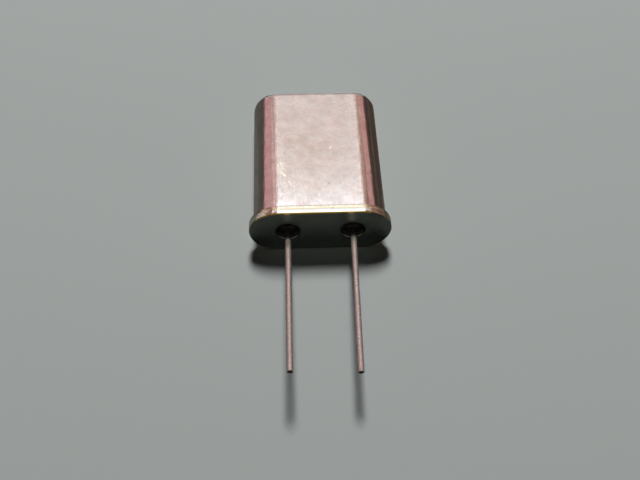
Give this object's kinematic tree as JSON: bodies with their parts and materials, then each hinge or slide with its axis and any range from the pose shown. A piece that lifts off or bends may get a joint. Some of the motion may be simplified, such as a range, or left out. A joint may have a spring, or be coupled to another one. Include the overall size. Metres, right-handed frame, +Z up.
{
  "type": "quartz crystal",
  "caption": "Through-hole quartz crystal in a tall flat metal can with a weld flange, glass-sealed wire leads and a spring-mounted round quartz blank inside.",
  "frame": {"origin": "middle of the length, from the lead tips to the closed end of the can, between the leads, on the surface the crystal lies on", "axes": "+Z up from that surface; +Y towards the closed end of the can, with the leads towards -Y; +X from the left lead to the right one"},
  "size_m": [0.0106, 0.0253, 0.0045],
  "materials": {
    "can_metal": "satin nickel plate, with a bright rolled sheen on the round sides",
    "header_metal": "smooth bright nickel plate",
    "seal_glass": "black glass",
    "lead_wire": "drawn wire, tinned",
    "clip_metal": "rolled strip",
    "quartz": "lapped clear crystal",
    "electrode_silver": "evaporated silver film",
    "adhesive": "silver-filled adhesive"
  },
  "bodies": {
    "root": {"can": "can_metal", "header": "header_metal", "left_glass_seal": "seal_glass", "right_glass_seal": "seal_glass", "left_lead": "lead_wire", "right_lead": "lead_wire", "left_spring_clip": "clip_metal", "right_spring_clip": "clip_metal", "quartz_blank": "quartz", "front_electrode": "electrode_silver", "rear_electrode": "electrode_silver", "left_adhesive": "adhesive", "right_adhesive": "adhesive"}
  },
  "joints": []
}
